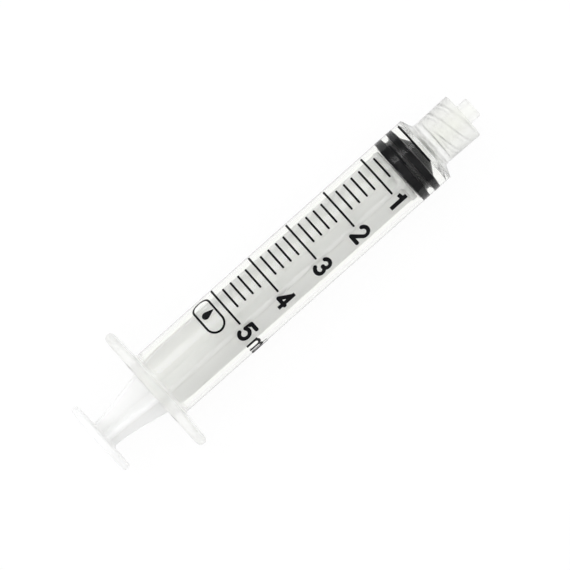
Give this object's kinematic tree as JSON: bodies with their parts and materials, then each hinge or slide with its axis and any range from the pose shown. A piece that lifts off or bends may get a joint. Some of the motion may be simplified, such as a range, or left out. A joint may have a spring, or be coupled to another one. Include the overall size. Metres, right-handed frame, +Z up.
{
  "type": "luer-lock syringe",
  "caption": "Plastic luer-lock syringe with a sliding plunger, black rubber stopper, flat-sided finger flange and printed millilitre scale.",
  "frame": {"origin": "on the ground under the middle of the whole syringe at rest, below the barrel's axis", "axes": "+X along the barrel's axis from the thumb press to the nozzle, +Y across the finger flange's wings, +Z up, square to the flange's flats"},
  "size_m": [0.0892, 0.026, 0.0146],
  "materials": {
    "clear_polypropylene": "clear, faintly greenish, glossy moulding",
    "pale_polypropylene": "milky, translucent, satin moulding",
    "black_rubber": "smooth, lubricated, satin",
    "black_ink": "printed ink, satin"
  },
  "bodies": {
    "barrel": {"barrel": "clear_polypropylene", "scale_line_0_0": "black_ink", "scale_line_0_2": "black_ink", "scale_line_0_4": "black_ink", "scale_line_0_6": "black_ink", "scale_line_0_8": "black_ink", "scale_line_1_0": "black_ink", "scale_line_1_2": "black_ink", "scale_line_1_4": "black_ink", "scale_line_1_6": "black_ink", "scale_line_1_8": "black_ink", "scale_line_2_0": "black_ink", "scale_line_2_2": "black_ink", "scale_line_2_4": "black_ink", "scale_line_2_6": "black_ink", "scale_line_2_8": "black_ink", "scale_line_3_0": "black_ink", "scale_line_3_2": "black_ink", "scale_line_3_4": "black_ink", "scale_line_3_6": "black_ink", "scale_line_3_8": "black_ink", "scale_line_4_0": "black_ink", "scale_line_4_2": "black_ink", "scale_line_4_4": "black_ink", "scale_line_4_6": "black_ink", "scale_line_4_8": "black_ink", "scale_line_5_0": "black_ink", "numeral_1": "black_ink", "numeral_2": "black_ink", "numeral_3": "black_ink", "numeral_4": "black_ink", "numeral_5": "black_ink", "unit_m": "black_ink", "unit_l": "black_ink", "mark_ring": "black_ink", "mark_droplet": "black_ink"},
    "stopper": {"stopper": "black_rubber"},
    "plunger_rod": {"plunger_rod": "pale_polypropylene"}
  },
  "joints": [
    {"name": "plunger_slide", "type": "slide", "parent": "barrel", "child": "stopper", "axis": [-1, 0, 0], "range_m": [-0.00128, 0.0558]},
    {"name": "rod_turn", "type": "hinge", "parent": "stopper", "child": "plunger_rod", "pos_m": [0.02823, 0, 0.0073], "axis": [1, 0, 0], "continuous": true}
  ]
}
